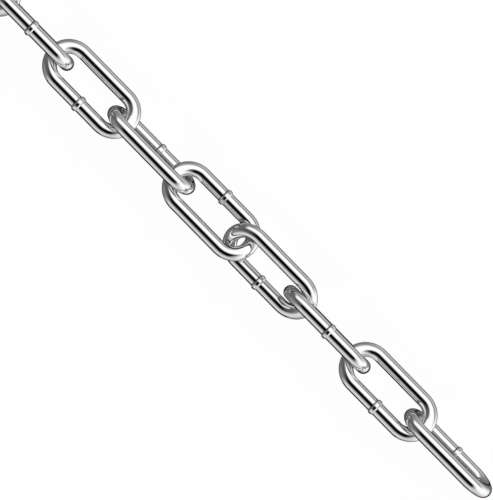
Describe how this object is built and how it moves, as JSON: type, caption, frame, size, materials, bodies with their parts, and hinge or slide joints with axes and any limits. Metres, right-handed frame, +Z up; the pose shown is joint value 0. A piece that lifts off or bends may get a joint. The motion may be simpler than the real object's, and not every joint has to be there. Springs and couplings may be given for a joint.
{
  "type": "steel chain",
  "caption": "A straight length of bright welded long-link steel chain. Each link hangs in the next one's eye and swings there freely.",
  "frame": {"origin": "on the floor, under the middle of the chain", "axes": "+X along the chain, towards the end link in the picture's lower right; +Y towards the side that the picture was taken from; +Z up"},
  "size_m": [0.9946, 0.039, 0.0361],
  "materials": {
    "bright_steel": "polished bright steel, mirror-like, with a low raised weld collar on one leg of each link"
  },
  "bodies": {
    "link_01": {"link_01": "bright_steel"},
    "link_02": {"link_02": "bright_steel"},
    "link_03": {"link_03": "bright_steel"},
    "link_04": {"link_04": "bright_steel"},
    "link_05": {"link_05": "bright_steel"},
    "link_06": {"link_06": "bright_steel"},
    "link_07": {"link_07": "bright_steel"},
    "link_08": {"link_08": "bright_steel"},
    "link_09": {"link_09": "bright_steel"},
    "link_10": {"link_10": "bright_steel"},
    "link_11": {"link_11": "bright_steel"},
    "link_12": {"link_12": "bright_steel"},
    "link_13": {"link_13": "bright_steel"},
    "link_14": {"link_14": "bright_steel"},
    "link_15": {"link_15": "bright_steel"},
    "link_16": {"link_16": "bright_steel"},
    "link_17": {"link_17": "bright_steel"}
  },
  "joints": [
    {"name": "swing_02", "type": "hinge", "parent": "link_01", "child": "link_02", "pos_m": [0.42216, 0, 0.01806], "axis": [0, 0.866, 0.5], "range_deg": [-120, 120]},
    {"name": "swing_03", "type": "hinge", "parent": "link_02", "child": "link_03", "pos_m": [0.36453, 0, 0.01806], "axis": [0, -0.7431, 0.6691], "range_deg": [-120, 120]},
    {"name": "swing_04", "type": "hinge", "parent": "link_03", "child": "link_04", "pos_m": [0.30567, 0, 0.01806], "axis": [0, -0.0698, -0.9976], "range_deg": [-120, 120]},
    {"name": "swing_05", "type": "hinge", "parent": "link_04", "child": "link_05", "pos_m": [0.25078, 0, 0.01806], "axis": [0, 0.866, 0.5], "range_deg": [-120, 120]},
    {"name": "swing_06", "type": "hinge", "parent": "link_05", "child": "link_06", "pos_m": [0.19422, 0, 0.01806], "axis": [0, -0.866, 0.5], "range_deg": [-120, 120]},
    {"name": "swing_07", "type": "hinge", "parent": "link_06", "child": "link_07", "pos_m": [0.13659, 0, 0.01806], "axis": [0, 0.866, 0.5], "range_deg": [-120, 120]},
    {"name": "swing_08", "type": "hinge", "parent": "link_07", "child": "link_08", "pos_m": [0.07897, 0, 0.01806], "axis": [0, -0.7431, 0.6691], "range_deg": [-120, 120]},
    {"name": "swing_09", "type": "hinge", "parent": "link_08", "child": "link_09", "pos_m": [0.0201, 0, 0.01806], "axis": [0, -0.0698, -0.9976], "range_deg": [-120, 120]},
    {"name": "swing_10", "type": "hinge", "parent": "link_09", "child": "link_10", "pos_m": [-0.03479, 0, 0.01806], "axis": [0, 0.866, 0.5], "range_deg": [-120, 120]},
    {"name": "swing_11", "type": "hinge", "parent": "link_10", "child": "link_11", "pos_m": [-0.09135, 0, 0.01806], "axis": [0, -0.866, 0.5], "range_deg": [-120, 120]},
    {"name": "swing_12", "type": "hinge", "parent": "link_11", "child": "link_12", "pos_m": [-0.14897, 0, 0.01806], "axis": [0, 0.866, 0.5], "range_deg": [-120, 120]},
    {"name": "swing_13", "type": "hinge", "parent": "link_12", "child": "link_13", "pos_m": [-0.20659, 0, 0.01806], "axis": [0, -0.7431, 0.6691], "range_deg": [-120, 120]},
    {"name": "swing_14", "type": "hinge", "parent": "link_13", "child": "link_14", "pos_m": [-0.26546, 0, 0.01806], "axis": [0, -0.0698, -0.9976], "range_deg": [-120, 120]},
    {"name": "swing_15", "type": "hinge", "parent": "link_14", "child": "link_15", "pos_m": [-0.32035, 0, 0.01806], "axis": [0, 0.866, 0.5], "range_deg": [-120, 120]},
    {"name": "swing_16", "type": "hinge", "parent": "link_15", "child": "link_16", "pos_m": [-0.37691, 0, 0.01806], "axis": [0, -0.866, 0.5], "range_deg": [-120, 120]},
    {"name": "swing_17", "type": "hinge", "parent": "link_16", "child": "link_17", "pos_m": [-0.43453, 0, 0.01806], "axis": [0, 0.866, 0.5], "range_deg": [-120, 120]}
  ]
}
